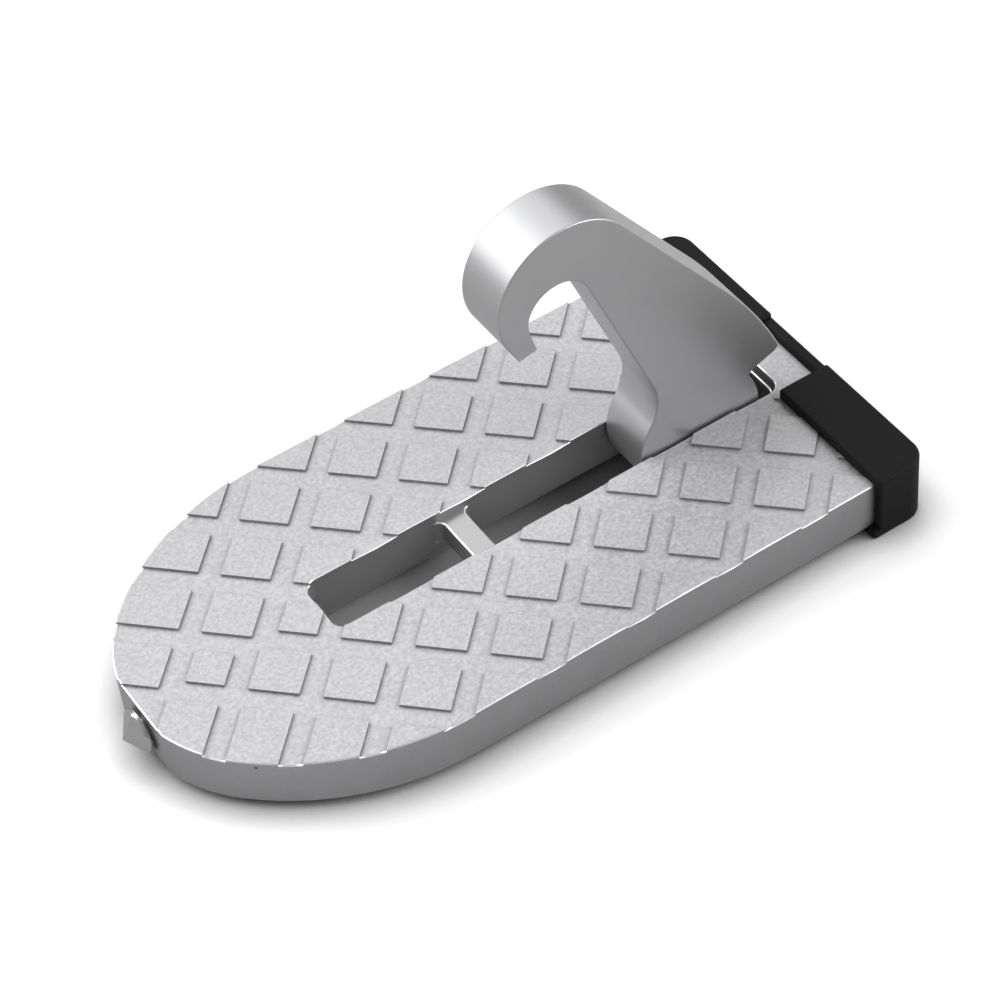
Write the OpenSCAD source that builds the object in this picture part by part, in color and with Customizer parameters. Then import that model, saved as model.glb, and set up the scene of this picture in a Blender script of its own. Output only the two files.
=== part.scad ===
// Folding door latch step: a nose-ended aluminium platform with a raised square tread, a hook that
// turns on a cross pin inside the platform's slot, a rubber cap on the rear edge and a steel
// hammer tip in the nose.
// X runs from the nose to the rubber end, Y across, Z up. The origin is under the middle of the part.

/* [Platform] */
// Length of the plate from the nose flat to the rear edge
plate_l = 163.6; // [155:0.1:180]
// Width of the plate
plate_w = 85; // [80:0.5:95]
// Thickness of the plate under the tread
plate_t = 11.5; // [10:0.1:14]
// Width of the flat at the nose
nose_flat_w = 18.6; // [16:0.2:22]
// Radius of the side arcs of the nose
side_arc_r = 62; // [59:0.5:66]
// Radius of the arc round the nose
nose_arc_r = 34; // [32:0.5:36]

/* [Tread] */
// Height of the raised squares
tread_h = 0.6; // [0.3:0.1:1]
// Side of a raised square
square_side = 10.6; // [8:0.1:12]
// Side of the smaller squares on the centre line
small_square_side = 8.1; // [6:0.1:9]
// Pitch of the squares along the plate
square_pitch = 22; // [20:0.5:25]
// Distance of the first row of squares from the centre line
first_row_y = 9.4; // [8:0.1:11]
// Distance of the first small square from the nose flat
small_square_start = 16.6; // [12:0.1:20]

/* [Slot] */
// Width of the slot
slot_w = 14.4; // [12:0.1:18]
// Radius of the slot's corners at both ends
slot_end_r = 3; // [2:0.1:4]
// Radius of the slot's corners at the bridge
slot_bridge_r = 2; // [1:0.1:3]
// Gap between the folded hook's far end and the slot's nose end
fold_gap = 4.2; // [3:0.1:8]
// Gap between the hook's hub and the slot's rear end
hub_end_gap = 5.4; // [4.6:0.1:7]
// How far the ledge stands out from the slot's rear end
ledge_out = 1.3; // [0.5:0.1:2]
// Depth of the ledge below the plate's top
ledge_drop = 1.7; // [1:0.1:3]

/* [Bridge] */
// Distance from the pin to the rear face of the bridge across the slot
bridge_from_pin = 52.3; // [48:0.1:54]
// Width of the bridge along the slot
bridge_w = 5.5; // [4:0.1:7]
// Depth of the bridge's top below the plate's top
bridge_drop = 2.1; // [1:0.1:3]
// Height of the bridge
bridge_h = 6; // [4:0.1:7]

/* [Hinge pin] */
// Distance from the plate's rear edge to the pin
pin_from_rear = 29; // [28:0.1:33]
// Radius of the pin
pin_r = 2.5; // [2:0.1:3]
// How far the pin's blind end runs past the slot
pin_blind_l = 15; // [8:0.5:25]
// Radial running clearance between the pin and the hook
pin_clearance = 0.05; // [0.02:0.01:0.1]

/* [Hook] */
// Clearance between the hook and each wall of the slot
hook_side_gap = 0.6; // [0.3:0.1:1]
// Radius of the hub
hub_r = 15.5; // [14.5:0.1:16.5]
// Height of the hub's centre above the pin
hub_rise = 5.1; // [4:0.1:6]
// Distance from the pin to the flat under the hub
hub_flat = 5.2; // [4.5:0.1:5.6]
// Angle of the second flat under the hub, level when the hook stands fully back
hub_flat_angle = 28; // [20:1:35]
// Distance of the curl's centre in front of the pin
curl_x = 29.9; // [27:0.1:33]
// Height of the curl's centre above the pin
curl_z = 64; // [60:0.1:68]
// Outer radius of the curl
curl_r = 16.8; // [15.5:0.1:18]
// Radius of the throat that takes the striker
throat_r = 7.4; // [6.5:0.1:8]
// Distance of the throat's centre in front of the curl's centre
throat_x = 2.6; // [1.5:0.1:3.5]
// Distance of the throat's centre below the curl's centre
throat_z = 4.2; // [3:0.1:5]
// Angle of the arm's front edge to the level
front_angle = 111; // [108:1:114]
// Radius of the waist between the arm and the hub
waist_r = 12; // [8:0.5:14]
// Angle at which the arm's straight back leaves the curl
back_angle = 37; // [35:0.1:39]
// Length of the straight part of the back
back_straight_l = 39; // [34:0.5:42]
// Radius of the curved part of the back, down to the heel
back_r = 112; // [85:1:130]
// Angle on the curl at which the outside of the point begins
point_out_angle = 207; // [204:1:210]
// Angle on the throat at which the inside of the point begins
point_in_angle = 195; // [190:1:200]
// Length of the point's outside past the curl
point_out_l = 4.6; // [3:0.1:6]
// Length of the point's inside past the throat
point_in_l = 5; // [3:0.1:6]
// Angle of the heel's underside to the level
heel_angle = 25; // [20:1:30]
// Distance from the pin up to the line of the heel's underside
heel_off = 7.4; // [7:0.1:8]
// Radius of the notch between the heel and the hub
notch_r = 1.2; // [0.5:0.1:2]
// Radius of the heel's outer corner
heel_corner_r = 1; // [0.5:0.1:2]

/* [Rubber strip] */
// Thickness of the strip's rear wall
strip_wall = 2.5; // [2:0.1:4]
// Thickness of the strip over the plate's sides
strip_side = 2; // [1.5:0.1:3]
// Height of the upper lip above the plate's top
lip_top = 2.8; // [2:0.1:4]
// Thickness of the lower lip under the plate
lip_bottom = 2.5; // [2:0.1:4]
// Reach of the upper lip and the sides over the plate
lip_reach = 10.5; // [9:0.1:12]
// How much further the lower lip reaches
lip_bottom_extra = 1.3; // [0:0.1:2]
// Radius of the strip's rear corners
strip_corner_r = 5; // [3:0.1:7]
// Clearance between the notch in the upper lip and the hook's heel, on each side
lip_notch_gap = 3.1; // [1:0.1:4]
// Height of the rear wall above the plate's top inside the notch
notch_wall_h = 1.8; // [1:0.1:2.2]

/* [Hammer tip] */
// Distance from the nose flat to the point of the tip
tip_out = 5; // [4:0.1:7]
// Radius of the tip's head
tip_r = 5.1; // [4:0.1:5.4]
// Thickness of the head's round rim
tip_rim = 0.6; // [0.4:0.1:1.2]
// Length of the neck that shows between the nose flat and the head
tip_neck = 0.7; // [0.5:0.1:1.5]
// Radius of the tip's shank and neck
tip_shank_r = 3; // [2.5:0.1:3.5]
// Length of the shank inside the nose
tip_shank_l = 10; // [6:0.5:14]
// Distance of the tip's axis below the middle of the plate's edge
tip_drop = 0.7; // [0:0.1:1.2]
// Turn of the tip's six facets about its own axis
tip_turn = 5; // [0:5:60]

/* [Hidden] */
$fn = 96;
cut = 1;  // overrun of a cut past the face that it opens
seat = 0.002;  // how far a straight edge or a hollow dips into the round that it runs into

overall_l = tip_out + plate_l + strip_wall;
nose_x = tip_out - overall_l / 2;
rear_x = nose_x + plate_l;
plate_z = lip_bottom;
top_z = plate_z + plate_t;

pin_x = rear_x - pin_from_rear;
pin_z = plate_z + plate_t / 2;
tip_z = pin_z - tip_drop;

hook_t = slot_w - 2 * hook_side_gap;
hook_reach = norm([curl_x, curl_z]) + curl_r;
slot_nose_x = pin_x - hook_reach - fold_gap;
slot_rear_x = pin_x + hub_r + hub_end_gap;
bridge_rear_x = pin_x - bridge_from_pin;
bridge_nose_x = bridge_rear_x - bridge_w;
bridge_top_z = top_z - bridge_drop;
bridge_low_z = bridge_top_z - bridge_h;
ledge_z = top_z - ledge_drop;

strip_nose_x = rear_x - lip_reach;
strip_rear_x = rear_x + strip_wall;
strip_w = plate_w + 2 * strip_side;
lip_notch_w = hook_t + 2 * lip_notch_gap;

function dir(a) = [cos(a), sin(a)];
function dot(a, b) = a[0] * b[0] + a[1] * b[1];
function unit(v) = v / norm(v);

// Nose outline: two side arcs that run into one nose arc, cut off by the flat
nose_c = [nose_x + sqrt(pow(nose_arc_r, 2) - pow(nose_flat_w / 2, 2)), 0];
side_c_y = plate_w / 2 - side_arc_r;
side_c = [nose_c[0] + sqrt(pow(side_arc_r - nose_arc_r, 2) - pow(side_c_y, 2)), side_c_y];
nose_join_x = side_c[0] + side_arc_r * unit(nose_c - side_c)[0];

// Hook profile, measured from the pin in X and Z
curl_c = [-curl_x, curl_z];
throat_c = curl_c - [throat_x, throat_z];
hub_c = [0, hub_rise];

front_dir = dir(front_angle);
front_out = dir(front_angle + 90);  // points out of the front edge, away from the arm
front_off = dot(throat_c, front_out) - throat_r + seat;
front_top = throat_c + (seat - throat_r) * front_out;
mouth_low = front_top - curl_r * front_dir;

waist_off = front_off + waist_r;
waist_rise = dot(hub_c, front_dir)
    + sqrt(pow(hub_r + waist_r, 2) - pow(waist_off - dot(hub_c, front_out), 2));
waist_c = waist_off * front_out + waist_rise * front_dir;
waist_foot = waist_c - waist_r * front_out - cut * front_dir;
waist_on_hub = hub_c + hub_r * unit(waist_c - hub_c);

back_out = dir(back_angle);
back_start = curl_c + (curl_r - seat) * back_out;
back_bend = back_start + back_straight_l * dir(back_angle - 90);
back_c = back_bend + (seat - back_r) * back_out;
back_mid = (back_start + back_bend) / 2;

heel_dir = dir(heel_angle);
heel_up = dir(heel_angle + 90);
corner_off = heel_off + heel_corner_r;
corner_run = dot(back_c, heel_dir)
    + sqrt(pow(back_r - heel_corner_r, 2) - pow(corner_off - dot(back_c, heel_up), 2));
corner_c = corner_off * heel_up + corner_run * heel_dir;
corner_on_heel = corner_c - heel_corner_r * heel_up;
corner_past_back = corner_c + 3 * heel_corner_r * unit(corner_c - back_c);
heel_start = heel_off * heel_up;
heel_corner = heel_start + (corner_run + 2 * heel_corner_r) * heel_dir;

notch_off = heel_off - notch_r;
notch_run = dot(hub_c, heel_dir)
    + sqrt(pow(hub_r + notch_r, 2) - pow(notch_off - dot(hub_c, heel_up), 2));
notch_c = notch_off * heel_up + notch_run * heel_dir;
notch_on_hub = hub_c + hub_r * unit(notch_c - hub_c);

point_out_a = curl_c + (curl_r - seat) * dir(point_out_angle);
point_out_b = point_out_a + point_out_l * dir(point_out_angle + 90);
point_in_a = throat_c + (throat_r - seat) * dir(point_in_angle);
point_in_b = point_in_a + point_in_l * dir(point_in_angle + 90);

module plate_outline() {
    intersection() {
        union() {
            translate(nose_c) circle(r = nose_arc_r, $fn = 180);
            intersection() {
                translate(side_c) circle(r = side_arc_r, $fn = 240);
                mirror([0, 1]) translate(side_c) circle(r = side_arc_r, $fn = 240);
                translate([nose_join_x, -plate_w / 2])
                    square([side_c[0] - nose_join_x, plate_w]);
            }
            translate([side_c[0], -plate_w / 2]) square([rear_x - side_c[0], plate_w]);
        }
        translate([nose_x, -plate_w]) square([plate_l + cut, 2 * plate_w]);
    }
}

module tread_square(x, y, side) {
    translate([x, y]) rotate(45) square(side, center = true);
}

// Rows lie half a pitch apart, and every second one is shifted by half a pitch
module tread_squares() {
    rows = ceil((plate_w / 2 - first_row_y) / (square_pitch / 2));
    columns = ceil(plate_l / square_pitch);
    for (side = [-1, 1], row = [0 : rows], column = [0 : columns]) {
        shift = row % 2 == 0 ? square_pitch / 2 : 0;
        tread_square(nose_x + small_square_start + shift + (column - 1) * square_pitch,
            side * (first_row_y + row * square_pitch / 2), square_side);
    }
    // At the nose the first square of each row runs on to the plate's edge
    for (side = [-1, 1], row = [0 : rows])
        translate([nose_x + small_square_start + (row - 1) * square_pitch / 2,
                side * (first_row_y + row * square_pitch / 2)])
            rotate(side * 135) translate([0, -square_side / 2])
            square([2 * square_side, square_side]);
    for (column = [0 : 1])
        tread_square(nose_x + small_square_start + column * square_pitch, 0, small_square_side);
}

// The sunk field between the squares, reaching past the plate on every side
module tread_field() {
    difference() {
        translate([nose_x - cut, -plate_w]) square([plate_l + 2 * cut, 2 * plate_w]);
        intersection() {
            tread_squares();
            translate([nose_x - cut, -plate_w])
                square([strip_nose_x - nose_x + cut, 2 * plate_w]);
        }
    }
}

// Rectangle from x1 to x2 across the slot, with its own corner radius at each end
module slot_opening(x1, x2, r1, r2) {
    half = slot_w / 2;
    translate([x1 + r1, -half]) square([x2 - x1 - r1 - r2, slot_w]);
    translate([x1, r1 - half]) square([r1, slot_w - 2 * r1]);
    translate([x2 - r2, r2 - half]) square([r2, slot_w - 2 * r2]);
    for (side = [-1, 1]) {
        translate([x1 + r1, side * (half - r1)]) circle(r = r1);
        translate([x2 - r2, side * (half - r2)]) circle(r = r2);
    }
}

module slot() {
    // Nose side of the bridge, right through
    translate([0, 0, plate_z - cut]) linear_extrude(plate_t + tread_h + 2 * cut)
        slot_opening(slot_nose_x, bridge_nose_x, slot_end_r, slot_bridge_r);
    // Hook side of the bridge, right through as far as the ledge
    translate([0, 0, plate_z - cut]) linear_extrude(plate_t + tread_h + 2 * cut)
        slot_opening(bridge_rear_x, slot_rear_x - ledge_out, slot_bridge_r, slot_end_r);
    // Over the ledge
    translate([0, 0, ledge_z]) linear_extrude(ledge_drop + tread_h + cut)
        slot_opening(pin_x, slot_rear_x, slot_end_r, slot_end_r);
    // Over the bridge, and under it
    translate([bridge_nose_x - slot_bridge_r, -slot_w / 2, bridge_top_z])
        cube([bridge_w + 2 * slot_bridge_r, slot_w, bridge_drop + tread_h + cut]);
    translate([bridge_nose_x - slot_bridge_r, -slot_w / 2, plate_z - cut])
        cube([bridge_w + 2 * slot_bridge_r, slot_w, bridge_low_z - plate_z + cut]);
}

// Bore for the pin, drilled in from the far side and blind on the near side
module pin_rod(r, end_y) {
    start_y = -slot_w / 2 - pin_blind_l;
    translate([pin_x, start_y, pin_z]) rotate([-90, 0, 0]) cylinder(r = r, h = end_y - start_y);
}

module tip_shank() {
    translate([nose_x, 0, tip_z]) rotate([0, 90, 0]) cylinder(r = tip_shank_r, h = tip_shank_l);
}

module platform() {
    color("silver") difference() {
        translate([0, 0, plate_z]) linear_extrude(plate_t + tread_h) plate_outline();
        translate([0, 0, top_z]) linear_extrude(tread_h + cut) tread_field();
        slot();
        pin_rod(pin_r, plate_w / 2 + cut);
        tip_shank();
    }
}

module hook_blank() {
    translate(curl_c) circle(r = curl_r, $fn = 180);
    translate(hub_c) circle(r = hub_r, $fn = 180);
    polygon([curl_c, point_out_a, point_out_b, point_in_b, point_in_a]);
    // Arm, and its curved back down to the heel
    polygon([heel_start, corner_c, back_bend, back_start, curl_c, front_top, mouth_low,
        waist_foot]);
    intersection() {
        translate(back_c) circle(r = back_r, $fn = 360);
        polygon([heel_start, heel_corner, [heel_corner[0], back_mid[1]], back_mid]);
    }
    // Waist between the arm's front edge and the hub
    difference() {
        polygon([hub_c, waist_c - 2 * waist_r * front_out, waist_c, waist_on_hub]);
        translate(waist_c) circle(r = waist_r + seat);
    }
    // Notch between the heel and the hub
    difference() {
        polygon([hub_c, notch_on_hub, notch_c, notch_c + 2 * notch_r * heel_up]);
        translate(notch_c) circle(r = notch_r + seat);
    }
}

module hook_profile() {
    low = 3 * hub_r;
    difference() {
        hook_blank();
        // Throat and its mouth
        translate(throat_c) circle(r = throat_r);
        polygon([throat_c, point_in_a, point_in_b, point_out_b, point_out_b - [0, low],
            mouth_low, front_top]);
        // Heel's outer corner
        difference() {
            polygon([corner_c, corner_on_heel, heel_corner, corner_past_back]);
            translate(corner_c) circle(r = heel_corner_r + seat);
        }
        // Flats under the hub
        translate([-low, -low - hub_flat]) square([2 * low, low]);
        rotate(hub_flat_angle) translate([-low, -low - hub_flat]) square([2 * low, low]);
    }
}

module hook_arm() {
    color("darkgray") translate([pin_x, 0, pin_z]) rotate([90, 0, 0]) difference() {
        linear_extrude(hook_t, center = true) hook_profile();
        cylinder(r = pin_r + pin_clearance, h = hook_t + 2 * cut, center = true);
    }
}

module hinge_pin() {
    color("gray") pin_rod(pin_r, plate_w / 2);
}

module strip_outline(nose_x) {
    r = strip_corner_r;
    translate([nose_x, -strip_w / 2]) square([strip_rear_x - nose_x - r, strip_w]);
    translate([strip_rear_x - r, r - strip_w / 2]) square([r, strip_w - 2 * r]);
    for (side = [-1, 1])
        translate([strip_rear_x - r, side * (strip_w / 2 - r)]) circle(r = r);
}

module rubber_strip() {
    color("black") difference() {
        union() {
            linear_extrude(lip_bottom + plate_t + lip_top) strip_outline(strip_nose_x);
            linear_extrude(lip_bottom) strip_outline(strip_nose_x - lip_bottom_extra);
        }
        // Pocket for the plate
        translate([strip_nose_x - cut, -plate_w / 2, plate_z])
            cube([lip_reach + cut, plate_w, plate_t]);
        // Notch in the upper lip for the hook's heel
        translate([strip_nose_x - cut, -lip_notch_w / 2, top_z - cut])
            cube([lip_reach + cut, lip_notch_w, lip_top + 2 * cut]);
        // Lower rear wall inside the notch
        translate([strip_nose_x - cut, -lip_notch_w / 2, top_z + notch_wall_h])
            cube([lip_reach + strip_wall + 2 * cut, lip_notch_w, lip_top]);
    }
}

// A round head whose six facets run from the rim to the point
module hammer_tip() {
    head_l = tip_out - tip_neck;
    facet_r = tip_r * head_l / (head_l - tip_rim) / cos(30);
    color("lightgray") {
        tip_shank();
        translate([nose_x, 0, tip_z]) rotate([0, -90, 0]) {
            cylinder(r = tip_shank_r, h = tip_neck + tip_rim);
            translate([0, 0, tip_neck]) intersection() {
                cylinder(r = tip_r, h = head_l);
                rotate(tip_turn) cylinder(r1 = facet_r, r2 = 0, h = head_l, $fn = 6);
            }
        }
    }
}

platform();
hook_arm();
hinge_pin();
rubber_strip();
hammer_tip();
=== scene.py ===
import math

import bmesh
import bpy
from mathutils import Matrix, Vector


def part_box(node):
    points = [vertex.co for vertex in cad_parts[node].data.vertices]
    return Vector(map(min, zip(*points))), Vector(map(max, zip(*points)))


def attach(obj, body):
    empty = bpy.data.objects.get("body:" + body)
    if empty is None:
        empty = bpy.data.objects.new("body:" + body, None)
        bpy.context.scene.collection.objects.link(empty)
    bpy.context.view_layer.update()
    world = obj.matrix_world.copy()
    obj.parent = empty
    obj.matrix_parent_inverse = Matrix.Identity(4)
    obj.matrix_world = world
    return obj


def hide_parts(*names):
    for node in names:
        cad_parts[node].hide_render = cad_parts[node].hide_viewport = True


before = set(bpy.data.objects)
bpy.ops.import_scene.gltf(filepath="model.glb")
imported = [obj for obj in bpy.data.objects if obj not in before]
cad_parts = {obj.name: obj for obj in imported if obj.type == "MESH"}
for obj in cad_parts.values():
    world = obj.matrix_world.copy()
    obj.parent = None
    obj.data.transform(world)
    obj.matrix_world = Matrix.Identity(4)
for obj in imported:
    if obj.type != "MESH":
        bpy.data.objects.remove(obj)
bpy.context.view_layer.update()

# Lengths are in metres, mostly written in mm, and angles in degrees
mm = 0.001
slack = 0.1 * mm  # two heights within it count as one

# Read from the frame: where the plate begins and ends, and the pieces in and on it
plateLow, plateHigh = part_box("platform")
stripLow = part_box("rubber_strip")[0]
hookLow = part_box("hook_arm")[0]
pinLow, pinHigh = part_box("hinge_pin")

# Two sizes that the frame doesn't hold: the height of the squares and half the slot's width
treadHeight = 0.6 * mm
slotHalf = 7.2 * mm
fieldTop = plateHigh.z - treadHeight


# Shared shader parts

def addNode(tree, kind, inputs, operation=None):
    # Each input, by name or by number, gets another node's output or a constant
    node = tree.nodes.new("ShaderNode" + kind)
    if operation:
        node.operation = operation
    for key, value in inputs.items():
        if isinstance(value, bpy.types.NodeSocket):
            tree.links.new(value, node.inputs[key])
        else:
            node.inputs[key].default_value = value
    return node


def mathNode(tree, operation, first, second):
    return addNode(tree, "Math", {0: first, 1: second}, operation).outputs[0]


def mixNode(tree, factor, first, second):
    # The two plain numbers are the Mix node's inputs 2 and 3
    return addNode(tree, "Mix", {"Factor": factor, 2: first, 3: second}).outputs[0]


def grainGroup():
    # Fine grain with a wider mottle: a tone round 1 for the colour, and a height for the bump
    group = bpy.data.node_groups.new("metalGrain", "ShaderNodeTree")
    for name in ("Grain Size", "Grain Tone", "Mottle Size", "Mottle Tone"):
        group.interface.new_socket(name=name, in_out="INPUT", socket_type="NodeSocketFloat")
    group.interface.new_socket(name="Stretch", in_out="INPUT", socket_type="NodeSocketVector")
    for name in ("Tone", "Height"):
        group.interface.new_socket(name=name, in_out="OUTPUT", socket_type="NodeSocketFloat")
    source = group.nodes.new("NodeGroupInput")
    result = group.nodes.new("NodeGroupOutput")
    place = addNode(group, "TexCoord", {}).outputs["Object"]
    stretched = addNode(group, "VectorMath", {0: place, 1: source.outputs["Stretch"]},
                        "MULTIPLY").outputs[0]

    def noise(sizeName, detail):
        scale = mathNode(group, "DIVIDE", 1, source.outputs[sizeName])
        texture = addNode(group, "TexNoise", {"Vector": stretched, "Scale": scale, "Detail": detail})
        return texture.outputs["Fac"]

    def swing(height, toneName):
        # The noise round zero, times its strength
        centred = mathNode(group, "SUBTRACT", height, 0.5)
        return mathNode(group, "MULTIPLY", centred, source.outputs[toneName])

    grain = noise("Grain Size", detail=1.5)
    mottle = noise("Mottle Size", detail=2)
    total = mathNode(group, "ADD", swing(grain, "Grain Tone"), swing(mottle, "Mottle Tone"))
    group.links.new(mathNode(group, "ADD", total, 1), result.inputs["Tone"])
    group.links.new(grain, result.inputs["Height"])
    return group


metalGrain = grainGroup()


def grainedMaterial(name, look):
    # One Principled shader whose colour, roughness and bump all follow the same grain
    material = bpy.data.materials.new(name)
    material.use_nodes = True
    tree = material.node_tree
    shader = tree.nodes["Principled BSDF"]
    shader.inputs["Metallic"].default_value = look["metallic"]
    shader.inputs["Specular IOR Level"].default_value = look.get("specular", 0.5)
    grain = tree.nodes.new("ShaderNodeGroup")
    grain.node_tree = metalGrain
    for part in ("Grain", "Mottle"):
        size, tone = look[part.lower()]
        grain.inputs[part + " Size"].default_value = size
        grain.inputs[part + " Tone"].default_value = tone
    grain.inputs["Stretch"].default_value = look.get("stretch", (1, 1, 1))
    tone = grain.outputs["Tone"]
    colour = addNode(tree, "VectorMath", {0: look["colour"], "Scale": tone}, "SCALE")
    tree.links.new(colour.outputs[0], shader.inputs["Base Color"])
    tree.links.new(mathNode(tree, "MULTIPLY", look["roughness"], tone), shader.inputs["Roughness"])
    strength, depth = look["bump"]
    bump = addNode(tree, "Bump", {"Strength": strength, "Distance": depth,
                                  "Height": grain.outputs["Height"]})
    tree.links.new(bump.outputs[0], shader.inputs["Normal"])
    return material


# Shared mesh work

meshLook = {
    "weld": 0.001 * mm,
    "cutReach": 0.0005 * mm,
    "flatWithin": 0.4,
    "shortest": 0.04 * mm,
    "sharpFrom": 35,
    "bevelSegments": 3,
}


def roundEdges(piece, width, weightOf, finish=-1):
    # Copies take their softened edges from one Bevel modifier with a weight for each edge.
    # The finish is the number of the material on the rounding, and with -1 it keeps its faces' own
    mesh = piece.data
    bm = bmesh.new()
    bm.from_mesh(mesh)
    layers = bm.edges.layers.float
    layer = layers.get("bevel_weight_edge") or layers.new("bevel_weight_edge")
    for edge in bm.edges:
        edge[layer] = weightOf(edge) if len(edge.link_faces) == 2 else 0
    bm.to_mesh(mesh)
    bm.free()
    bevel = piece.modifiers.new("softEdges", "BEVEL")
    bevel.limit_method = "WEIGHT"
    bevel.width = width
    bevel.segments = meshLook["bevelSegments"]
    bevel.miter_outer = "MITER_ARC"
    bevel.use_clamp_overlap = False
    bevel.material = finish
    normals = piece.modifiers.new("flatFaces", "WEIGHTED_NORMAL")
    normals.keep_sharp = True


def mergedCopy(nodeName, pieceName, body, cuts=()):
    # A copy of a CAD node, its triangles merged into whole faces. Each cut, a point and a
    # direction, opens the faces that have a hole, so that every face is a plain outline
    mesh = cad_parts[nodeName].data.copy()
    mesh.name = pieceName
    mesh.materials.clear()
    bm = bmesh.new()
    bm.from_mesh(mesh)
    bmesh.ops.remove_doubles(bm, verts=bm.verts, dist=meshLook["weld"])
    for place, direction in cuts:
        everything = bm.verts[:] + bm.edges[:] + bm.faces[:]
        cut = bmesh.ops.bisect_plane(bm, geom=everything, dist=meshLook["cutReach"],
                                     plane_co=place, plane_no=direction)
        for part in cut["geom_cut"]:
            if isinstance(part, bmesh.types.BMEdge):
                part.seam = True
    bmesh.ops.dissolve_limit(bm, angle_limit=math.radians(meshLook["flatWithin"]), verts=bm.verts,
                             edges=bm.edges, delimit={"SEAM"})
    bmesh.ops.dissolve_degenerate(bm, edges=bm.edges[:], dist=meshLook["shortest"])
    bm.to_mesh(mesh)
    bm.free()
    # The shading marks of the CAD mesh don't fit the merged faces
    for name in ("custom_normal", "sharp_face", "sharp_edge"):
        if name in mesh.attributes:
            mesh.attributes.remove(mesh.attributes[name])
    mesh.shade_smooth()
    mesh.set_sharp_from_angle(angle=math.radians(meshLook["sharpFrom"]))
    piece = bpy.data.objects.new(pieceName, mesh)
    bpy.context.scene.collection.objects.link(piece)
    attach(piece, body)
    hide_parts(nodeName)
    return piece


def cornerWeight(edge, degrees):
    # Only outer corners are softened, never the inner ones
    return 1 if edge.is_convex and edge.calc_face_angle(0) > math.radians(degrees) else 0


# Platform

platformLook = {
    "edgeRadius": 0.35 * mm,
    "roundFrom": 30,
    "rimWeight": 0.75,
    "rimWall": 1 * mm,
    "firstCut": 6.5 * mm,
    "cutPitch": 11 * mm,
    "pinCut": 2.7 * mm,
    "middleCut": 0.2 * mm,
    "slotFromNose": 5 * mm,
    "slotPastStrip": 6 * mm,
    "levelFrom": 0.9,
    "tread": {"colour": (0.487, 0.487, 0.496), "metallic": 0.5, "roughness": 0.56,
              "grain": (0.8 * mm, 0.85), "mottle": (5 * mm, 0.1), "bump": (0.45, 0.05 * mm)},
    "wall": {"colour": (0.427, 0.427, 0.438), "metallic": 1, "roughness": 0.45,
             "grain": (0.8 * mm, 0.16), "mottle": (6 * mm, 0.16), "bump": (0.15, 0.03 * mm)},
    "slot": {"colour": (0.42, 0.42, 0.424), "metallic": 1, "roughness": 0.5,
             "grain": (0.4 * mm, 0.1), "mottle": (4 * mm, 0.08), "bump": (0.15, 0.03 * mm)},
    "bridge": {"colour": (0.35, 0.35, 0.355), "metallic": 1, "roughness": 0.35,
               "grain": (0.5 * mm, 0.06), "mottle": (3 * mm, 0.05), "bump": (0.1, 0.02 * mm),
               "stretch": (1, 0.2, 1)},
    # The ledge under the hook's heel: its near-black colour is painted shade, not the metal's own
    "ledge": {"colour": (0.07, 0.07, 0.071), "metallic": 1, "roughness": 0.5,
              "grain": (0.4 * mm, 0.1), "mottle": (3 * mm, 0.1), "bump": (0.15, 0.03 * mm)},
    # The rounded rims: smoother metal, and a colour much paler than the tread's that paints a highlight
    # along them
    "edge": {"colour": (0.95, 0.95, 0.955), "metallic": 1, "roughness": 0.3,
             "grain": (0.8 * mm, 0.1), "mottle": (5 * mm, 0.1), "bump": (0.1, 0.02 * mm)},
    # Painted shade in the corners at the foot of the squares, from ambient occlusion
    "paintedGrooveShade": {"distance": 1.2 * mm, "samples": 3, "reach": (0.55, 0.95), "tone": 0.65},
    "speck": {"place": (-69.12 * mm, -26.66 * mm, 13.14 * mm), "reach": (0.2 * mm, 0.45 * mm),
              "tone": 0.15},
}
platformParts = ("tread", "wall", "slot", "bridge", "ledge", "edge")


def darken(material, value, look):
    # The colour goes from the tone at the reach's near end up to its own at the far end
    tree = material.node_tree
    shader = tree.nodes["Principled BSDF"]
    colour = shader.inputs["Base Color"].links[0].from_socket
    near, far = look["reach"]
    share = addNode(tree, "MapRange", {"Value": value, "From Min": near, "From Max": far,
                                       "To Min": look["tone"]}).outputs[0]
    marked = addNode(tree, "VectorMath", {0: colour, "Scale": share}, "SCALE")
    tree.links.new(marked.outputs[0], shader.inputs["Base Color"])


def addSpeck(material, look):
    # The one small dark mark, high on the nose's near side
    tree = material.node_tree
    place = addNode(tree, "TexCoord", {}).outputs["Object"]
    away = addNode(tree, "VectorMath", {0: place, 1: look["place"]}, "DISTANCE")
    darken(material, away.outputs["Value"], look)


def addPaintedGrooveShade(material, look):
    # Painted shade: the field's colour is darkened by ambient occlusion in the corner along the foot of
    # each square
    occlusion = addNode(material.node_tree, "AmbientOcclusion", {"Distance": look["distance"]})
    occlusion.samples = look["samples"]
    darken(material, occlusion.outputs["AO"], look)


def platformFinishAndShade(face):
    # The edge finish, smoother metal with a pale painted highlight, isn't given here, it comes with the
    # bevel
    centre = face.calc_center_median()
    level = abs(face.normal.z) > platformLook["levelFrom"]
    facesUp = level and face.normal.z > 0
    if facesUp and centre.z > fieldTop - slack:
        return "tread"
    slotStart = plateLow.x + platformLook["slotFromNose"]
    slotEnd = stripLow.x + platformLook["slotPastStrip"]
    inSlot = abs(centre.y) < slotHalf + 2 * slack and slotStart < centre.x < slotEnd
    if not inSlot or centre.z <= plateLow.z + slack:
        return "wall"
    if facesUp:
        # Level faces in the slot: the bridge ahead of the hook, and behind it the ledge, whose dark
        # colour is painted shade
        return "bridge" if centre.x < hookLow.x else "ledge"
    return "slot" if centre.z < fieldTop else "wall"


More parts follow.
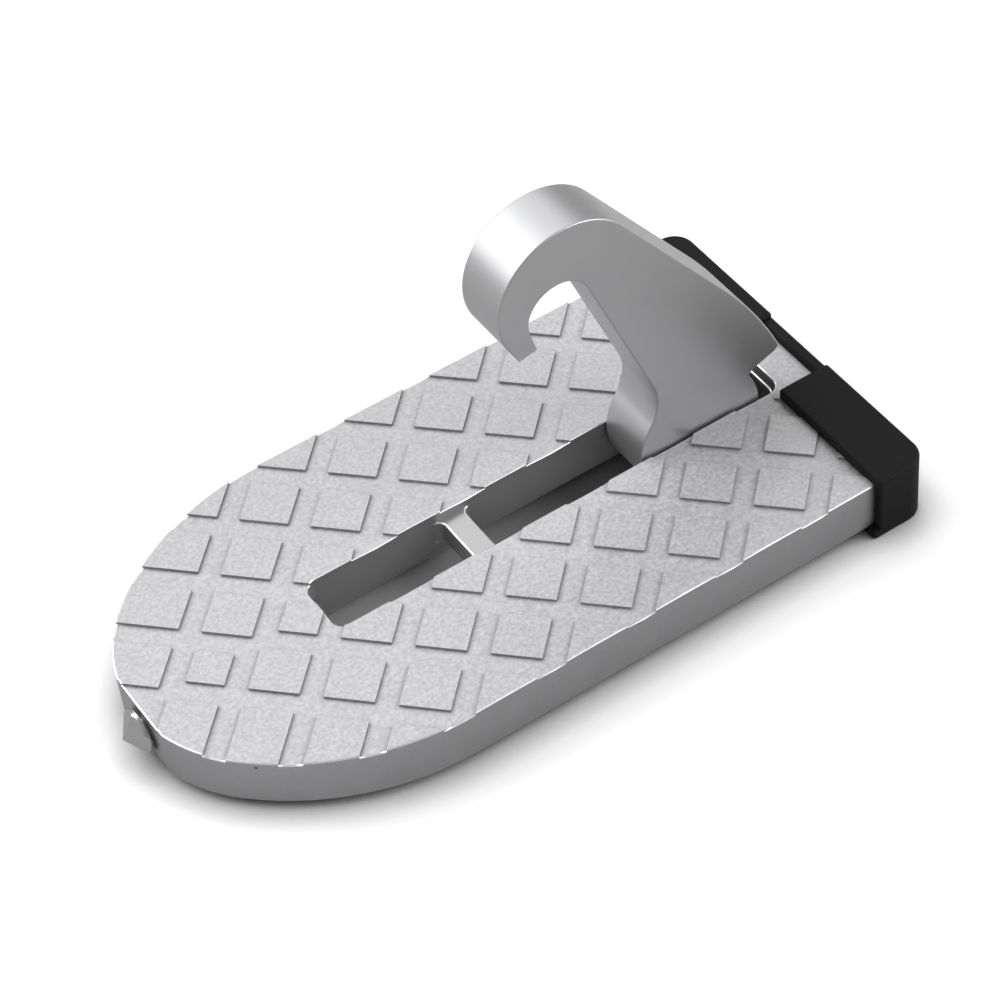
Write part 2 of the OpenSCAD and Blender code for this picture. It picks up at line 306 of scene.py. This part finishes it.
def platformWeight(edge):
    weight = cornerWeight(edge, platformLook["roundFrom"])
    low, high = sorted(vertex.co.z for vertex in edge.verts)
    if weight == 0 or low < fieldTop - slack / 2:
        return weight
    # Up at the tread only the rims along the walls are round, the squares are crisp
    deepest = min(vertex.co.z for face in edge.link_faces for vertex in face.verts)
    onRim = high - low < slack and deepest < fieldTop - platformLook["rimWall"]
    return platformLook["rimWeight"] if onRim else 0


def platformCuts():
    # One cut through every square and one through the pin, and one along the middle for the nose
    first, pitch = plateLow.x + platformLook["firstCut"], platformLook["cutPitch"]
    columns = int((plateHigh.x - first) / pitch) + 1
    places = [first + column * pitch for column in range(columns)]
    places.append(pinLow.x + platformLook["pinCut"])
    middle = ((0, platformLook["middleCut"], 0), (0, 1, 0))
    return [((x, 0, 0), (1, 0, 0)) for x in places] + [middle]


def makePlatform():
    piece = mergedCopy("platform", "stepPlate", "platform", platformCuts())
    for part in platformParts:
        piece.data.materials.append(grainedMaterial(part + "Metal", platformLook[part]))
    addSpeck(bpy.data.materials["wallMetal"], platformLook["speck"])
    addPaintedGrooveShade(bpy.data.materials["treadMetal"], platformLook["paintedGrooveShade"])
    bm = bmesh.new()
    bm.from_mesh(piece.data)
    for face in bm.faces:
        face.material_index = platformParts.index(platformFinishAndShade(face))
    bm.to_mesh(piece.data)
    bm.free()
    # The rims' rounding takes the edge finish, whose pale colour is a painted highlight
    roundEdges(piece, platformLook["edgeRadius"], platformWeight, platformParts.index("edge"))
    print("platform made")


# Hook

hookLook = {
    "edgeRadius": 0.3 * mm,
    "roundFrom": 60,
    "satin": {"colour": (0.445, 0.445, 0.454), "metallic": 0.9, "roughness": 0.42,
              "grain": (0.5 * mm, 0.04), "mottle": (9 * mm, 0.05), "bump": (0.06, 0.02 * mm)},
}


def makeHook():
    # The cut goes level through the pin's bore
    piece = mergedCopy("hook_arm", "hookBlade", "hook", [((pinLow + pinHigh) / 2, (0, 0, 1))])
    piece.data.materials.append(grainedMaterial("satinMetal", hookLook["satin"]))
    roundEdges(piece, hookLook["edgeRadius"], lambda edge: cornerWeight(edge, hookLook["roundFrom"]))
    print("hook made")


# Pin

pinLook = {
    "steel": {"colour": (0.55, 0.55, 0.56), "metallic": 1, "roughness": 0.3,
              "grain": (0.3 * mm, 0.08), "mottle": (2 * mm, 0.05), "bump": (0.1, 0.01 * mm)},
}


def makePin():
    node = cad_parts["hinge_pin"]
    node.data.materials.clear()
    node.data.materials.append(grainedMaterial("pinSteel", pinLook["steel"]))
    print("pin finished")


# Rubber strip

rubberLook = {
    "edgeRadius": 0.6 * mm,
    "roundFrom": 60,
    "rubber": {"colour": (0.0052, 0.0051, 0.006), "metallic": 0, "specular": 0.18, "roughness": 0.65,
               "grain": (0.3 * mm, 0.25), "mottle": (3 * mm, 0.2), "bump": (0.3, 0.05 * mm)},
}


def makeRubber():
    piece = mergedCopy("rubber_strip", "rubberCap", "platform")
    piece.data.materials.append(grainedMaterial("mattRubber", rubberLook["rubber"]))
    roundEdges(piece, rubberLook["edgeRadius"], lambda edge: cornerWeight(edge, rubberLook["roundFrom"]))
    print("rubber made")


# Hammer tip

tipLook = {
    "edgeRadius": 0.12 * mm,
    "roundFrom": 30,
    "middleCut": 0.1 * mm,
    "steel": {"colour": (0.52, 0.52, 0.525), "metallic": 1, "roughness": 0.22,
              "grain": (0.3 * mm, 0.08), "mottle": (2 * mm, 0.1), "bump": (0.1, 0.02 * mm)},
}


def makeTip():
    middle = ((0, tipLook["middleCut"], 0), (0, 1, 0))
    piece = mergedCopy("hammer_tip", "tipPoint", "platform", [middle])
    piece.data.materials.append(grainedMaterial("tipSteel", tipLook["steel"]))
    roundEdges(piece, tipLook["edgeRadius"], lambda edge: cornerWeight(edge, tipLook["roundFrom"]))
    print("tip made")


# Camera

cameraLook = {
    "focalLength": 112.99,
    "sensorWidth": 36,
    "clip": (0.01, 20),
    "azimuth": -29.134,
    "elevation": 47.342,
    "roll": -6.334,
    "distance": 0.641929,
    "aim": (0.00244, -0.00832, 0.02753),
}


def makeCamera():
    data = bpy.data.cameras.new("photoCamera")
    data.lens = cameraLook["focalLength"]
    data.sensor_width = cameraLook["sensorWidth"]
    data.clip_start, data.clip_end = cameraLook["clip"]
    camera = bpy.data.objects.new("photoCamera", data)
    bpy.context.scene.collection.objects.link(camera)
    turn = Matrix.Rotation(math.radians(cameraLook["azimuth"]), 4, "Z")
    tilt = Matrix.Rotation(math.radians(90 - cameraLook["elevation"]), 4, "X")
    roll = Matrix.Rotation(math.radians(cameraLook["roll"]), 4, "Z")
    back = (turn @ tilt) @ Vector((0, 0, cameraLook["distance"]))
    camera.matrix_world = Matrix.Translation(Vector(cameraLook["aim"]) + back) @ turn @ tilt @ roll
    bpy.context.scene.camera = camera
    print("camera made")


# Light

lampLook = {
    "keySoftbox": {"place": (-1, 1.14, 1.2), "size": 1.9, "power": 33.6},
    "topSoftbox": {"place": (0.45, 0.9, 1.2), "size": 1, "power": 5},
    "fillSoftbox": {"place": (1.4, -0.9, 0.8), "size": 1.2, "power": 24.5},
    "edgeLamp": {"place": (0.5, -1, 0.85), "size": 0.3, "power": 1.9},
}
worldLook = {"tone": 0.43}


def makeLamp(name, look):
    # A square lamp that faces the origin
    data = bpy.data.lights.new(name, "AREA")
    data.shape = "SQUARE"
    data.size = look["size"]
    data.energy = look["power"]
    lamp = bpy.data.objects.new(name, data)
    lamp.location = look["place"]
    lamp.rotation_euler = Vector(look["place"]).to_track_quat("Z", "Y").to_euler()
    bpy.context.scene.collection.objects.link(lamp)


def makeWorld():
    # White to the camera, greyer as a light
    world = bpy.data.worlds.new("studio")
    world.use_nodes = True
    tree = world.node_tree
    path = addNode(tree, "LightPath", {})
    tone = addNode(tree, "MapRange", {"Value": path.outputs["Is Camera Ray"],
                                      "To Min": worldLook["tone"]})
    tree.links.new(tone.outputs[0], tree.nodes["Background"].inputs["Color"])
    bpy.context.scene.world = world
    print("light made")


# Floor

floorLook = {
    "size": 6,
    "colour": 0.5,
    # Painted shade on the floor under the plate, and a painted shadow below the hook
    "under": {"half": (62 * mm, 12 * mm), "fadeFrom": 0.9, "tone": 0.42},
    "hookShade": {"start": 0, "end": 28 * mm, "tone": 0.4},
    # A painted contact shadow along the part's foot
    "paintedContactShadow": {"distance": 7 * mm, "samples": 4, "fade": (75 * mm, 95 * mm)},
}


def underReach(tree, place):
    # How far out a point lies from the middle of the slot's patch of floor: 1 is at its edge
    apart = addNode(tree, "VectorMath", {0: place}, "ABSOLUTE").outputs[0]
    half = (*floorLook["under"]["half"], 1)
    share = addNode(tree, "VectorMath", {0: apart, 1: half}, "DIVIDE").outputs[0]
    sides = addNode(tree, "SeparateXYZ", {0: share})
    return mathNode(tree, "MAXIMUM", sides.outputs["X"], sides.outputs["Y"])


def cameraShade(tree):
    # The floor's tone to the camera, 1 where nothing shades it
    place = addNode(tree, "TexCoord", {}).outputs["Object"]
    along = addNode(tree, "SeparateXYZ", {0: place}).outputs["X"]
    reach = underReach(tree, place)
    inPatch = mathNode(tree, "LESS_THAN", reach, 1)

    # Painted shade: greyer under the plate, where it only shows through the slot, and a painted shadow
    # of the hook, darker below it
    under, hook = floorLook["under"], floorLook["hookShade"]
    tone = addNode(tree, "MapRange", {"Value": reach, "From Min": under["fadeFrom"],
                                      "To Min": under["tone"]}).outputs[0]
    hookTone = addNode(tree, "MapRange", {"Value": along, "From Min": hook["start"],
                                          "From Max": hook["end"], "To Min": 1,
                                          "To Max": hook["tone"]}).outputs[0]
    patchTone = mixNode(tree, inPatch, 1, hookTone)

    # A painted contact shadow, from ambient occlusion, along the foot of the part, which fades out at
    # the rear
    paintedContactShadow = addNode(tree, "AmbientOcclusion", {"Distance": floorLook["paintedContactShadow"]["distance"]})
    paintedContactShadow.samples = floorLook["paintedContactShadow"]["samples"]
    fadeStart, fadeEnd = floorLook["paintedContactShadow"]["fade"]
    fade = addNode(tree, "MapRange", {"Value": along, "From Min": fadeStart,
                                      "From Max": fadeEnd}).outputs[0]
    footTone = mathNode(tree, "MAXIMUM", paintedContactShadow.outputs["AO"], fade)
    footTone = mathNode(tree, "MAXIMUM", footTone, inPatch)
    return mathNode(tree, "MULTIPLY", mathNode(tree, "MULTIPLY", tone, patchTone), footTone)


def makeFloor():
    # The floor is whiter to the camera than in reflections and in the light that it gives back
    mesh = bpy.data.meshes.new("floor")
    bm = bmesh.new()
    bmesh.ops.create_grid(bm, x_segments=1, y_segments=1, size=floorLook["size"] / 2)
    bm.to_mesh(mesh)
    bm.free()
    floor = bpy.data.objects.new("floor", mesh)
    bpy.context.scene.collection.objects.link(floor)
    material = bpy.data.materials.new("paleFloor")
    material.use_nodes = True
    tree = material.node_tree
    shader = tree.nodes["Principled BSDF"]
    shader.inputs["Roughness"].default_value = 1
    shader.inputs["Specular IOR Level"].default_value = 0
    path = addNode(tree, "LightPath", {})
    tone = mixNode(tree, path.outputs["Is Camera Ray"], floorLook["colour"], cameraShade(tree))
    tree.links.new(tone, shader.inputs["Base Color"])
    mesh.materials.append(material)
    print("floor made")


makePlatform()
makeHook()
makePin()
makeRubber()
makeTip()
makeCamera()
for lampName, look in lampLook.items():
    makeLamp(lampName, look)
makeWorld()
makeFloor()
bpy.context.scene.view_settings.view_transform = "Standard"
